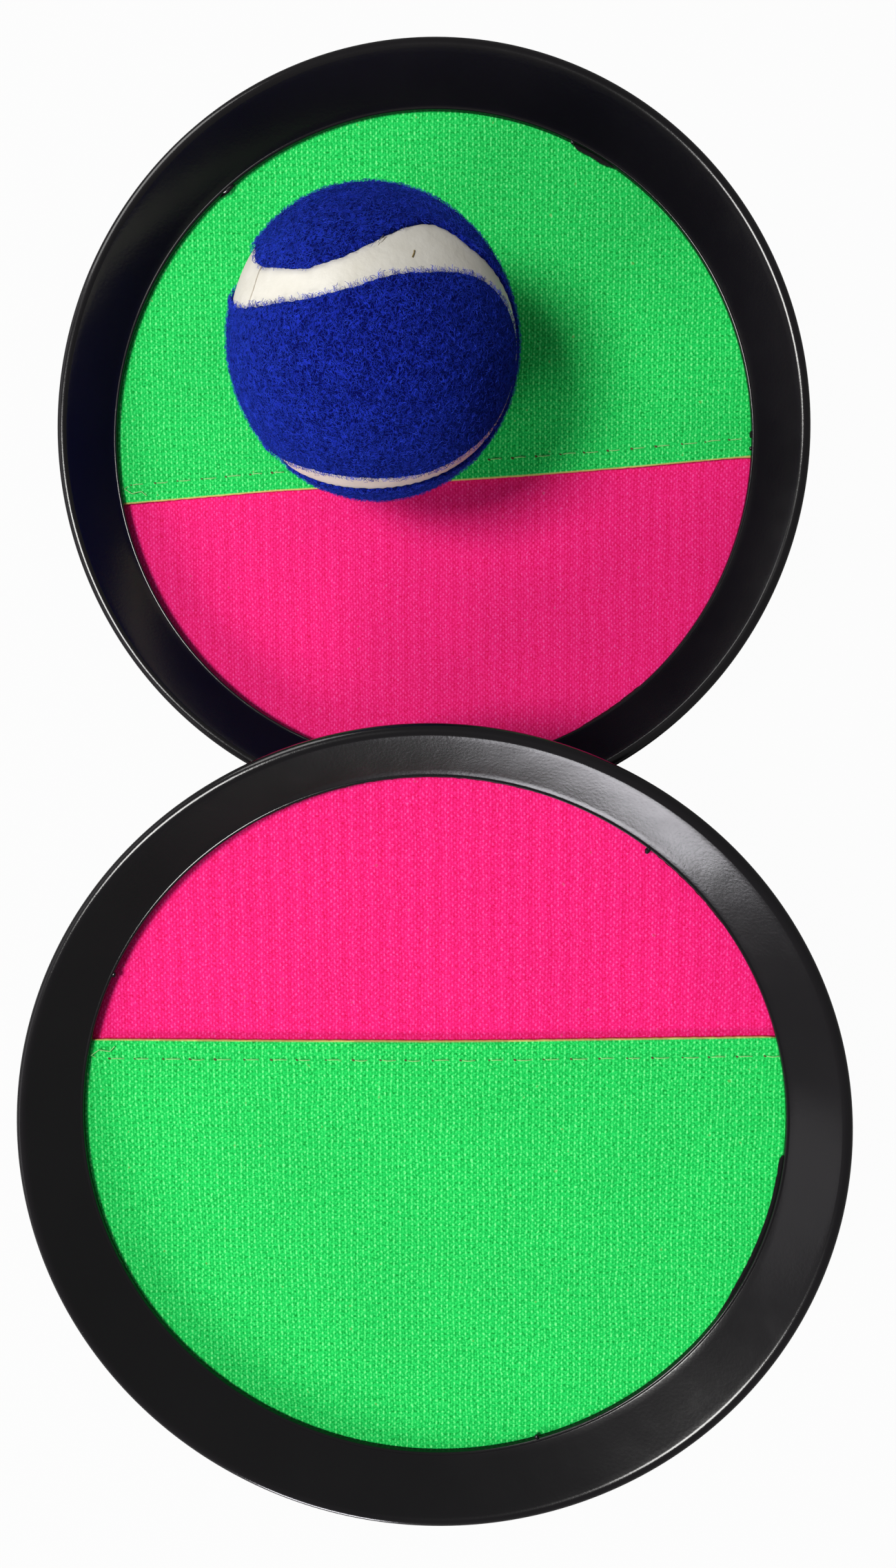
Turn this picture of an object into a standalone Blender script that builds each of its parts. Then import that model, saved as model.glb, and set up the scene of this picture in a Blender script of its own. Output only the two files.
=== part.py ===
# A catch set: two round paddles faced with hook cloth, and a felt ball that sticks to them.
# Each paddle lies on its hand strap and on the near edge of its rim, so both tilt the same way.
# Metres, +Z up, the floor at Z = 0.
import bmesh
import bpy
from math import cos, pi, radians, sin, sqrt, tan
from mathutils import Vector

# The gap between two pieces that touch
SEAT_GAP = 0.0003

# The moulded rim of a paddle
RIM_RADIUS = 0.091
RIM_HEIGHT = 0.022
BEAD_RADIUS = 0.0024
BASE_INSET = 0.0029
BASE_WIDTH = 0.0034
BASE_CHAMFER = 0.0008
SKIRT_DRAFT = 0.0004
FACE_WIDTH = 0.012
LIP_THICKNESS = 0.0006
LIP_LEDGE = 0.0007
FLANGE_THICKNESS = 0.0042
FLANGE_DROP = 0.0007
SLOPE_HOLLOW = 0.0014
RIM_STEPS = 64

# The hook cloth: two panels, one lapped over the other and sewn
CLOTH_RECESS = 0.0103
CLOTH_THICKNESS = 0.0008
CLOTH_TUCK = 0.004
CLOTH_LAP = 0.009
STITCH_INSET = 0.0045
STITCH_PITCH = 0.0060
STITCH_RISE = 0.0004
THREAD_RADIUS = 0.00025

# Where the seam runs on each paddle: its distance from the centre, and its turn in degrees
UPPER_SEAM = {"offset": 0.0081, "turn": 3.6}
LOWER_SEAM = {"offset": 0.0197, "turn": 180.4}

# The webbing strap that goes over the back of the hand
STRAP_WIDTH = 0.038
STRAP_THICKNESS = 0.0014
STRAP_TUCK = 0.0045
STRAP_LEVEL_RUN = 0.0065
STRAP_FLAT_REACH = 0.026
STRAP_SEGMENTS = 40

# How the paddles lie
PADDLE_TILT = 14.5
PADDLE_SPACING = 0.1624
LOWER_SIDE_SHIFT = 0.0007

# The ball, its felt, and where it sticks on the upper paddle
BALL_RADIUS = 0.0315
FELT_THICKNESS = 0.0011
BAND_HALF_WIDTH = 0.0036
BAND_WAVE = 0.25
BAND_POINTS = 72
BALL_SPOT = (-0.0112, 0.0139)
BALL_TURN = (-10.0, 81.2, -170.6)

# Radii, and heights above the base of the rim, worked out from the sizes above
BASE_RADIUS = RIM_RADIUS - BASE_INSET
LIP_RADIUS = RIM_RADIUS - FACE_WIDTH
GREEN_TOP = RIM_HEIGHT - CLOTH_RECESS
PINK_TOP = GREEN_TOP - CLOTH_THICKNESS - SEAT_GAP
FLANGE_TOP = PINK_TOP - CLOTH_THICKNESS - SEAT_GAP
FLANGE_UNDERSIDE = FLANGE_TOP - FLANGE_THICKNESS
LIP_UNDERSIDE = GREEN_TOP + SEAT_GAP
CLOTH_RADIUS = LIP_RADIUS + CLOTH_TUCK
STRAP_ANCHOR_HEIGHT = FLANGE_TOP - FLANGE_THICKNESS / 2
STRAP_LEVEL_REACH = LIP_RADIUS - STRAP_LEVEL_RUN
TILT = radians(PADDLE_TILT)
BASE_CENTRE_HEIGHT = BASE_RADIUS * sin(TILT)


def clear_scene():
    for thing in list(bpy.data.objects):
        bpy.data.objects.remove(thing, do_unlink=True)


def make_collection(name):
    collection = bpy.data.collections.new(name)
    bpy.context.scene.collection.children.link(collection)
    return collection


def make_material(name, colour, roughness, metallic=0.0):
    material = bpy.data.materials.new(name)
    material.use_nodes = True
    shader = material.node_tree.nodes["Principled BSDF"]
    shader.inputs["Base Color"].default_value = (*colour, 1.0)
    shader.inputs["Roughness"].default_value = roughness
    shader.inputs["Metallic"].default_value = metallic
    return material


def add_object(name, data, collection, material=None, parent=None):
    thing = bpy.data.objects.new(name, data)
    collection.objects.link(thing)
    if material:
        data.materials.append(material)
    thing.parent = parent
    return thing


def mesh_from(name, shape):
    mesh = bpy.data.meshes.new(name)
    shape.to_mesh(mesh)
    shape.free()
    return mesh


def add_cut(target, cutter):
    cut = target.modifiers.new("cut_" + cutter.name, "BOOLEAN")
    cut.operation = "DIFFERENCE"
    cut.solver = "EXACT"
    cut.object = cutter
    cutter.hide_render = True
    cutter.display_type = "WIRE"


def rim_profile():
    """The rim's section, from the lip over the bead and down the outside, then back up inside."""
    bead_centre = (RIM_RADIUS - BEAD_RADIUS, RIM_HEIGHT - BEAD_RADIUS)
    bead = []
    for angle in range(180, -31, -30):
        reach = BEAD_RADIUS * cos(radians(angle))
        rise = BEAD_RADIUS * sin(radians(angle))
        bead.append((bead_centre[0] + reach, bead_centre[1] + rise))
    lip_top = LIP_UNDERSIDE + LIP_THICKNESS
    slope_foot = (LIP_RADIUS + LIP_LEDGE, lip_top)
    slope_middle = (
        (slope_foot[0] + bead[0][0]) / 2,
        (slope_foot[1] + bead[0][1]) / 2 - SLOPE_HOLLOW / 2,
    )
    slope_end = (
        bead[0][0] - SLOPE_HOLLOW / 2,
        bead[0][1] - SLOPE_HOLLOW,
    )
    base_inner = BASE_RADIUS - BASE_WIDTH
    return [
        (LIP_RADIUS, lip_top),
        slope_foot,
        slope_middle,
        slope_end,
        *bead,
        (BASE_RADIUS + BASE_CHAMFER / 2, BASE_CHAMFER),
        (BASE_RADIUS, 0.0),
        (base_inner, 0.0),
        (base_inner + SKIRT_DRAFT, FLANGE_UNDERSIDE - FLANGE_DROP),
        (LIP_RADIUS, FLANGE_UNDERSIDE),
        (LIP_RADIUS, FLANGE_TOP),
        (CLOTH_RADIUS + SEAT_GAP, FLANGE_TOP),
        (CLOTH_RADIUS + SEAT_GAP, LIP_UNDERSIDE),
        (LIP_RADIUS, LIP_UNDERSIDE),
    ]


def make_strap_slot(paddle, side, cutters):
    """A box that cuts the slot which traps one end of the strap in the rim's flange."""
    length = LIP_RADIUS + STRAP_TUCK + SEAT_GAP - STRAP_LEVEL_REACH
    shape = bmesh.new()
    bmesh.ops.create_cube(shape, size=1.0)
    size = (length, STRAP_WIDTH + 2 * SEAT_GAP, STRAP_THICKNESS + 2 * SEAT_GAP)
    bmesh.ops.scale(shape, vec=size, verts=shape.verts)
    middle = side * (STRAP_LEVEL_REACH + length / 2)
    bmesh.ops.translate(shape, vec=(middle, 0.0, STRAP_ANCHOR_HEIGHT), verts=shape.verts)
    name = f"{paddle.name}_slot_{'right' if side > 0 else 'left'}"
    return add_object(name, mesh_from(name, shape), cutters, parent=paddle)


def make_rim(name, paddle, parts, cutters, material):
    shape = bmesh.new()
    points = [shape.verts.new((radius, 0.0, height)) for radius, height in rim_profile()]
    for start, end in zip(points, points[1:] + points[:1]):
        shape.edges.new((start, end))
    rim = add_object(name, mesh_from(name, shape), parts, material, paddle)
    turn = rim.modifiers.new("turn", "SCREW")
    turn.axis = "Z"
    turn.steps = RIM_STEPS
    turn.render_steps = RIM_STEPS
    turn.use_merge_vertices = True
    turn.merge_threshold = 0.00001
    turn.use_smooth_shade = False
    for side in (-1, 1):
        add_cut(rim, make_strap_slot(paddle, side, cutters))
    return rim


def make_panel(name, paddle, parts, material, seam, top, keep_green):
    """A flat piece of cloth: the disc inside the rim, cut straight along the seam."""
    shape = bmesh.new()
    bmesh.ops.create_circle(shape, cap_ends=True, radius=CLOTH_RADIUS, segments=RIM_STEPS)
    cut_height = -seam["offset"] if keep_green else CLOTH_LAP - seam["offset"]
    bmesh.ops.bisect_plane(
        shape,
        geom=shape.verts[:] + shape.edges[:] + shape.faces[:],
        plane_co=(0.0, cut_height, 0.0),
        plane_no=(0.0, 1.0, 0.0),
        clear_inner=keep_green,
        clear_outer=not keep_green,
    )
    panel = add_object(name, mesh_from(name, shape), parts, material, paddle)
    panel.location = (0.0, 0.0, top)
    panel.rotation_euler = (0.0, 0.0, radians(seam["turn"]))
    wall = panel.modifiers.new("cloth", "SOLIDIFY")
    wall.thickness = CLOTH_THICKNESS
    wall.offset = -1.0
    return panel


def make_seam_thread(name, paddle, parts, material, seam):
    """The row of stitches along the lap, lying on the green panel."""
    row = STITCH_INSET - seam["offset"]
    reach = sqrt((LIP_RADIUS - 4 * SEAT_GAP) ** 2 - row ** 2)
    stitches = int(2 * reach / STITCH_PITCH)
    low = GREEN_TOP + SEAT_GAP + THREAD_RADIUS
    curve = bpy.data.curves.new(name, "CURVE")
    curve.dimensions = "3D"
    curve.bevel_depth = THREAD_RADIUS
    curve.bevel_resolution = 1
    curve.use_fill_caps = True
    line = curve.splines.new("POLY")
    line.points.add(2 * stitches)
    for index, point in enumerate(line.points):
        along = (index - stitches) * reach / stitches
        lift = STITCH_RISE * (index % 2)
        point.co = (along, row, low + lift, 1.0)
    thread = add_object(name, curve, parts, material, paddle)
    thread.rotation_euler = (0.0, 0.0, radians(seam["turn"]))
    return thread


def ease(value):
    value = min(max(value, 0.0), 1.0)
    return value * value * (3.0 - 2.0 * value)


def make_hand_strap(name, paddle, parts, material):
    """A band from slot to slot, slack enough for a hand, its middle pressed flat on the floor."""
    end = LIP_RADIUS + STRAP_TUCK
    flat_height = STRAP_THICKNESS / 2 / cos(TILT) - BASE_RADIUS * tan(TILT)
    shape = bmesh.new()
    bmesh.ops.create_grid(shape, x_segments=STRAP_SEGMENTS, y_segments=1, size=1.0)
    for vertex in shape.verts:
        along = vertex.co.x * end
        across = vertex.co.y * STRAP_WIDTH / 2
        fall = ease((STRAP_LEVEL_REACH - abs(along)) / (STRAP_LEVEL_REACH - STRAP_FLAT_REACH))
        height = STRAP_ANCHOR_HEIGHT + fall * (flat_height - STRAP_ANCHOR_HEIGHT)
        twist = TILT * fall
        vertex.co = (along, across * cos(twist), height - across * sin(twist))
    strap = add_object(name, mesh_from(name, shape), parts, material, paddle)
    wall = strap.modifiers.new("webbing", "SOLIDIFY")
    wall.thickness = STRAP_THICKNESS
    wall.offset = 0.0
    wall.use_even_offset = True
    return strap


def make_paddle(prefix, place, seam, parts, cutters, root, finishes):
    paddle = bpy.data.objects.new(prefix + "_paddle", None)
    parts.objects.link(paddle)
    paddle.parent = root
    paddle.location = place
    paddle.rotation_euler = (TILT, 0.0, 0.0)
    make_rim(prefix + "_ring", paddle, parts, cutters, finishes["rim"])
    make_panel(prefix + "_green_panel", paddle, parts, finishes["green"], seam, GREEN_TOP, True)
    make_panel(prefix + "_pink_panel", paddle, parts, finishes["pink"], seam, PINK_TOP, False)
    make_seam_thread(prefix + "_seam_thread", paddle, parts, finishes["thread"], seam)
    make_hand_strap(prefix + "_hand_strap", paddle, parts, finishes["strap"])
    return paddle


def band_point(turn, radius):
    """A point of the closed wave that parts the two felt panels, on a sphere of this radius."""
    major = 1.0 - BAND_WAVE
    point = Vector((
        major * cos(turn) + BAND_WAVE * cos(3 * turn),
        major * sin(turn) - BAND_WAVE * sin(3 * turn),
        2 * sqrt(major * BAND_WAVE) * sin(2 * turn),
    ))
    return point.normalized() * radius


def make_band_cutter(cutters):
    curve = bpy.data.curves.new("band_path", "CURVE")
    curve.dimensions = "3D"
    curve.bevel_depth = BAND_HALF_WIDTH
    curve.bevel_resolution = 2
    line = curve.splines.new("POLY")
    line.points.add(BAND_POINTS - 1)
    for index, point in enumerate(line.points):
        place = band_point(2 * pi * index / BAND_POINTS, BALL_RADIUS)
        point.co = (*place, 1.0)
    line.use_cyclic_u = True
    path = add_object("band_path", curve, cutters)
    solid = bpy.data.meshes.new_from_object(path.evaluated_get(bpy.context.evaluated_depsgraph_get()))
    bpy.data.objects.remove(path, do_unlink=True)
    cutter = add_object("band_cutter", solid, cutters)
    cutter.hide_render = True
    cutter.display_type = "WIRE"
    return cutter


def make_ball_mesh(name, radius):
    shape = bmesh.new()
    bmesh.ops.create_icosphere(shape, subdivisions=4, radius=radius)
    mesh = mesh_from(name, shape)
    mesh.shade_smooth()
    return mesh


def make_felt_panels(place, parts, cutters, root, material):
    """Both panels come from one felt shell, parted by the wavy band between them."""
    shell = add_object("felt_shell", make_ball_mesh("felt_shell", BALL_RADIUS), cutters)
    hollow = add_object("felt_hollow", make_ball_mesh("felt_hollow", BALL_RADIUS - FELT_THICKNESS), cutters)
    add_cut(shell, hollow)
    add_cut(shell, make_band_cutter(cutters))
    graph = bpy.context.evaluated_depsgraph_get()
    both = bmesh.new()
    both.from_mesh(bpy.data.meshes.new_from_object(shell.evaluated_get(graph)))
    both.verts.index_update()
    waiting = set(both.verts)
    islands = []
    while waiting:
        front = [min(waiting, key=lambda vertex: vertex.index)]
        island = set(front)
        while front:
            vertex = front.pop()
            for edge in vertex.link_edges:
                other = edge.other_vert(vertex)
                if other not in island:
                    island.add(other)
                    front.append(other)
        waiting -= island
        islands.append({vertex.index for vertex in island})
    source = mesh_from("felt_both", both)
    for letter, island in zip("ab", islands):
        shape = bmesh.new()
        shape.from_mesh(source)
        shape.verts.ensure_lookup_table()
        others = [vertex for vertex in shape.verts if vertex.index not in island]
        bmesh.ops.delete(shape, geom=others, context="VERTS")
        name = "felt_panel_" + letter
        panel = add_object(name, mesh_from(name, shape), parts, material, root)
        panel.location = place
        panel.rotation_euler = [radians(angle) for angle in BALL_TURN]
    bpy.data.meshes.remove(source)
    shell.hide_render = True
    shell.display_type = "WIRE"


def far_and_near_edges():
    """How far a tilted rim reaches past its base centre, up the tilt and down it."""
    far = max(radius * cos(TILT) - height * sin(TILT) for radius, height in rim_profile())
    near = max(radius * cos(TILT) + height * sin(TILT) for radius, height in rim_profile())
    return far, near


def build():
    clear_scene()
    parts = make_collection("hook_and_loop_catch_set")
    cutters = make_collection("cutters")
    finishes = {
        "rim": make_material("black_plastic", (0.011, 0.011, 0.012), 0.38),
        "green": make_material("green_hook_cloth", (0.01, 0.62, 0.12), 0.75),
        "pink": make_material("pink_hook_cloth", (0.90, 0.015, 0.16), 0.75),
        "thread": make_material("sewing_thread", (0.42, 0.62, 0.25), 0.6),
        "strap": make_material("black_webbing", (0.015, 0.015, 0.016), 0.8),
        "felt": make_material("blue_felt", (0.006, 0.018, 0.26), 0.95),
        "rubber": make_material("white_rubber", (0.62, 0.60, 0.54), 0.55),
    }

    root = bpy.data.objects.new("catch_set", None)
    parts.objects.link(root)
    far, near = far_and_near_edges()
    root.location = (0.0, (PADDLE_SPACING + near - far) / 2, 0.0)

    upper_place = Vector((0.0, 0.0, BASE_CENTRE_HEIGHT))
    lower_place = Vector((LOWER_SIDE_SHIFT, -PADDLE_SPACING, BASE_CENTRE_HEIGHT))
    make_paddle("upper", upper_place, UPPER_SEAM, parts, cutters, root, finishes)
    make_paddle("lower", lower_place, LOWER_SEAM, parts, cutters, root, finishes)

    across, along = BALL_SPOT
    lift = GREEN_TOP + SEAT_GAP + BALL_RADIUS
    ball_place = upper_place + Vector((
        across,
        along * cos(TILT) - lift * sin(TILT),
        along * sin(TILT) + lift * cos(TILT),
    ))
    core_radius = BALL_RADIUS - FELT_THICKNESS - SEAT_GAP
    core = add_object("ball_core", make_ball_mesh("ball_core", core_radius), parts, finishes["rubber"], root)
    core.location = ball_place
    core.rotation_euler = [radians(angle) for angle in BALL_TURN]
    make_felt_panels(ball_place, parts, cutters, root, finishes["felt"])


build()
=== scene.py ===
import random
from math import cos, hypot, pi, radians, sin, sqrt

import bmesh
import bpy
import numpy as np
from mathutils import Matrix, Quaternion, Vector, noise


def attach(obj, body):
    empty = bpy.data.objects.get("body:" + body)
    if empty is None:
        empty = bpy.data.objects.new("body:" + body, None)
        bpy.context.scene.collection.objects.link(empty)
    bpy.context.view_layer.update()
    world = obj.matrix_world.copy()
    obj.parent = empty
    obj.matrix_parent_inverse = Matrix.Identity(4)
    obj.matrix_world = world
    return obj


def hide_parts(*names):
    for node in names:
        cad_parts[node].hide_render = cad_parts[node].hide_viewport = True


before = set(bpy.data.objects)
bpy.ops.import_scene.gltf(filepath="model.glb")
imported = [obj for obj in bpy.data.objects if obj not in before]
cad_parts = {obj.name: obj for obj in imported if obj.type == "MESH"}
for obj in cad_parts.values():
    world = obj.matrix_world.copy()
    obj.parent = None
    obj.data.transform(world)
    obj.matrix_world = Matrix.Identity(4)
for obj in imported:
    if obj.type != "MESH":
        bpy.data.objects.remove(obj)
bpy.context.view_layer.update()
scene = bpy.context.scene

# How the two paddles lie on the floor: each on its hand strap and on the near edge of its rim,
# so both faces tilt towards the camera. These sizes are the ones that the solids were made from.
TILT = radians(14.5)
BASE_RADIUS = 0.0881
PADDLE_SPACING = 0.1624
UPPER_BASE_Y = 0.085058
BASE_CENTRE_HEIGHT = BASE_RADIUS * sin(TILT)
paddle_lie = {
    "upper": Matrix.Translation((0.0, UPPER_BASE_Y, BASE_CENTRE_HEIGHT)) @ Matrix.Rotation(TILT, 4, "X"),
    "lower": Matrix.Translation((0.0007, UPPER_BASE_Y - PADDLE_SPACING, BASE_CENTRE_HEIGHT))
    @ Matrix.Rotation(TILT, 4, "X"),
}

# The camera looks down on the set from just in front of the middle, with a wide lens. Its place
# was worked out from the outlines of the two rims, the two cloths and the ball.
camera_data = bpy.data.cameras.new("camera")
camera_data.sensor_width = 36.0
camera_data.lens = 22.955
camera_data.clip_start = 0.01
camera = bpy.data.objects.new("camera", camera_data)
camera.location = (0.00973, UPPER_BASE_Y - 0.1225, 0.26787)
camera_turn = Vector((0.14793, 0.0238, 0.0))
camera.rotation_mode = "QUATERNION"
camera.rotation_quaternion = Quaternion(camera_turn.normalized(), camera_turn.length)
scene.collection.objects.link(camera)
scene.camera = camera

# Soft daylight comes from a window on the left, 60 degrees up, with low light without shine from
# the front left. Three pale panels, far left, left and low in front, show only as shine on the
# rims: the low one gives the front rim's slope its grey patch. The world fills the shadows.
scene.view_settings.view_transform = "Standard"
world = bpy.data.worlds.new("studio")
world.use_nodes = True
scene.world = world
sky = world.node_tree.nodes["Background"]
FILL_STRENGTH = 0.19
sky.inputs["Color"].default_value = (1.0, 1.0, 1.0, 1.0)
world_nodes = world.node_tree.nodes
sky_path = world_nodes.new("ShaderNodeLightPath")
sky_strength = world_nodes.new("ShaderNodeMapRange")
sky_strength.inputs["To Min"].default_value = FILL_STRENGTH
sky_strength.inputs["To Max"].default_value = 1.0
world.node_tree.links.new(sky_path.outputs["Is Camera Ray"], sky_strength.inputs["Value"])
world.node_tree.links.new(sky_strength.outputs["Result"], sky.inputs["Strength"])


def hang_light(name, target, direction, distance, width, height, watts, colour):
    data = bpy.data.lights.new(name, "AREA")
    data.shape = "RECTANGLE"
    data.size = width
    data.size_y = height
    data.energy = watts
    data.color = colour
    light = bpy.data.objects.new(name, data)
    away = Vector(direction).normalized()
    light.location = Vector(target) + away * distance
    light.rotation_mode = "QUATERNION"
    light.rotation_quaternion = away.to_track_quat("Z", "Y")
    light.visible_camera = False
    scene.collection.objects.link(light)
    return light


DAYLIGHT = (1.0, 0.99, 0.965)
hang_light(
    "window", target=(0.0, 0.04, 0.03), direction=(-0.475, -0.168, 0.864), distance=2.0,
    width=0.62, height=0.62, watts=30.5, colour=DAYLIGHT,
)
far_panel = hang_light(
    "far_panel", target=(0.065, 0.035, 0.035), direction=(-0.627, 0.526, 0.574), distance=0.45,
    width=0.16, height=0.18, watts=0.42, colour=(1.0, 0.99, 0.97),
)
wall_panel = hang_light(
    "wall", target=(0.05, 0.03, 0.03), direction=(-0.943, -0.060, 0.330), distance=1.0,
    width=1.4, height=0.40, watts=1.0, colour=(1.0, 0.97, 1.0),
)
low_panel = hang_light(
    "low_panel", target=(0.0455, -0.0125, 0.057), direction=(-0.315, -0.94, -0.11), distance=0.32,
    width=0.060, height=0.036, watts=0.115, colour=(0.96, 0.945, 1.0),
)
low_fill = hang_light(
    "low_fill", target=(0.0, 0.0, 0.03), direction=(-0.694, -0.694, 0.23), distance=1.2,
    width=0.5, height=0.25, watts=9.5, colour=DAYLIGHT,
)
low_fill.visible_glossy = False
for panel in (far_panel, wall_panel, low_panel):
    panel.visible_diffuse = False

# The floor is a plain board. To the light it is mid grey, so that it throws little shine up on the
# rims. The camera sees it almost white, with only a trace of the shadow.
floor_shape = bmesh.new()
bmesh.ops.create_grid(floor_shape, x_segments=1, y_segments=1, size=3.0)
floor_mesh = bpy.data.meshes.new("floor")
floor_shape.to_mesh(floor_mesh)
floor_shape.free()
floor = bpy.data.objects.new("floor", floor_mesh)
scene.collection.objects.link(floor)
FLOOR_WHITE_SHARE = 0.97
FLOOR_GREY = 0.20
floor_paint = bpy.data.materials.new("floor_board")
floor_paint.use_nodes = True
floor_nodes = floor_paint.node_tree.nodes
floor_links = floor_paint.node_tree.links
floor_shader = floor_nodes["Principled BSDF"]
floor_shader.inputs["Base Color"].default_value = (FLOOR_GREY, FLOOR_GREY, FLOOR_GREY, 1.0)
floor_shader.inputs["Roughness"].default_value = 0.9
floor_glow = floor_nodes.new("ShaderNodeEmission")
floor_mix = floor_nodes.new("ShaderNodeMixShader")
floor_path = floor_nodes.new("ShaderNodeLightPath")
floor_share = floor_nodes.new("ShaderNodeMapRange")
floor_share.inputs["To Max"].default_value = FLOOR_WHITE_SHARE
floor_links.new(floor_path.outputs["Is Camera Ray"], floor_share.inputs["Value"])
floor_links.new(floor_share.outputs["Result"], floor_mix.inputs["Fac"])
floor_links.new(floor_shader.outputs["BSDF"], floor_mix.inputs[1])
floor_links.new(floor_glow.outputs["Emission"], floor_mix.inputs[2])
floor_links.new(floor_mix.outputs["Shader"], floor_nodes["Material Output"].inputs["Surface"])
floor_mesh.materials.append(floor_paint)

# The rims are one black moulding each: a sloping dish wall from the lip that holds the cloth up
# to a rolled bead, an outer skirt, and a flange behind with two slots for the strap. They are
# turned from one section. The mould left nubs and slivers of flash along the inner edge.
RIM_RADIUS = 0.091
LIP_RADIUS = 0.079
SEAT_GAP = 0.0003
RIM_STEPS = 288
BEAD_RADIUS = 0.0016
NUB_HEIGHT = 0.0127
FLASH_HEIGHT = 0.0124
FLASH_THICKNESS = 0.00025
FLASH_ROOT = 0.0004
MERGE_DISTANCE = 0.000001
STRAP_WIDTH = 0.038
STRAP_THICKNESS = 0.0014
STRAP_LEVEL_REACH = 0.0725
STRAP_END = 0.0835
STRAP_ANCHOR_HEIGHT = 0.0074
SLOT_PLAY = 0.001


def add_node(tree, kind, settings=None, inputs=None):
    """A new node; an input is a plain value, or the socket that feeds it."""
    made = tree.nodes.new(kind)
    for key, value in (settings or {}).items():
        setattr(made, key, value)
    for key, value in (inputs or {}).items():
        if isinstance(value, bpy.types.NodeSocket):
            tree.links.new(value, made.inputs[key])
        else:
            made.inputs[key].default_value = value
    return made


def new_finish(name, colour, roughness):
    finish = bpy.data.materials.new(name)
    finish.use_nodes = True
    shader = finish.node_tree.nodes["Principled BSDF"]
    shader.inputs["Base Color"].default_value = (*colour, 1.0)
    shader.inputs["Roughness"].default_value = roughness
    return finish, finish.node_tree, shader


def add_noise(tree, where, scale, detail, roughness=0.5):
    """Blotches, about so many to the metre."""
    return add_node(tree, "ShaderNodeTexNoise", inputs={
        "Vector": where, "Scale": scale, "Detail": detail, "Roughness": roughness,
    })


def work_out(tree, operation, *values):
    made = add_node(tree, "ShaderNodeMath", {"operation": operation}, dict(enumerate(values)))
    return made.outputs["Value"]


def remap(tree, value, span, result=(0.0, 1.0), curve="LINEAR"):
    """Stretches a value from one span to another, and holds it inside the new one."""
    made = add_node(tree, "ShaderNodeMapRange", {"interpolation_type": curve}, {
        "Value": value, "From Min": span[0], "From Max": span[1], "To Min": result[0], "To Max": result[1],
    })
    return made.outputs["Result"]


def mix_colours(tree, share, first, second):
    """A colour between two. Each is a plain colour, or the socket that gives it."""
    ends = {
        key: colour if isinstance(colour, bpy.types.NodeSocket) else (*colour, 1.0)
        for key, colour in (("A", first), ("B", second))
    }
    made = add_node(tree, "ShaderNodeMix", {"data_type": "RGBA"}, {"Factor": share, **ends})
    return made.outputs["Result"]


def add_relief(tree, shader, height, strength, distance):
    """Bumps on the finish. A second relief rides on the first."""
    bump = add_node(tree, "ShaderNodeBump", inputs={
        "Height": height, "Strength": strength, "Distance": distance,
    })
    for link in shader.inputs["Normal"].links:
        tree.links.new(link.from_socket, bump.inputs["Normal"])
    tree.links.new(bump.outputs["Normal"], shader.inputs["Normal"])


def place_piece(name, shape_or_mesh, finish, lie):
    """Bakes the piece's place into its mesh, and lets it ride on the set's one body."""
    if isinstance(shape_or_mesh, bmesh.types.BMesh):
        mesh = bpy.data.meshes.new(name)
        shape_or_mesh.to_mesh(mesh)
        shape_or_mesh.free()
    else:
        mesh = shape_or_mesh
    mesh.transform(lie)
    mesh.materials.clear()
    mesh.materials.append(finish)
    piece = bpy.data.objects.new(name, mesh)
    scene.collection.objects.link(piece)
    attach(piece, "root")
    return piece


def rim_section():
    lip = [(LIP_RADIUS, 0.0120), (LIP_RADIUS, 0.0128)]
    lip += [(0.07905, 0.01298), (0.0792, 0.0131), (0.07945, 0.01314)]
    ledge = [(0.07962, 0.01308), (0.0798, 0.0132)]
    slope = [(0.0808, 0.01409), (0.0820, 0.01516), (0.0840, 0.01694), (0.0860, 0.01872), (0.0875, 0.02005)]
    bead_centre = (RIM_RADIUS - BEAD_RADIUS, 0.0196)
    bead = []
    for angle in range(132, -49, -9):
        reach = BEAD_RADIUS * cos(radians(angle))
        rise = BEAD_RADIUS * sin(radians(angle))
        bead.append((bead_centre[0] + reach, bead_centre[1] + rise))
    skirt = [(0.0895, 0.0090), (0.0886, 0.0012), (0.0884, 0.0005), (0.0880, 0.0001), (0.0875, 0.0)]
    inside = [(0.0850, 0.0), (0.0847, 0.0003), (0.0851, 0.0042), (0.0848, 0.0046)]
    flange = [(0.0794, 0.0053), (0.0790, 0.0057), (0.0790, 0.0095), (0.0833, 0.0095), (0.0833, 0.0120)]
    return lip + ledge + slope + bead + skirt + inside + flange


def turn_rim():
    shape = bmesh.new()
    points = [shape.verts.new((radius, 0.0, height)) for radius, height in rim_section()]
    edges = [shape.edges.new(pair) for pair in zip(points, points[1:] + points[:1])]
    bmesh.ops.spin(
        shape, geom=points + edges, cent=(0, 0, 0), axis=(0, 0, 1), dvec=(0, 0, 0),
        angle=2 * pi, steps=RIM_STEPS, use_merge=True,
    )
    bmesh.ops.remove_doubles(shape, verts=shape.verts, dist=MERGE_DISTANCE)
    bmesh.ops.recalc_face_normals(shape, faces=shape.faces)
    return shape


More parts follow.
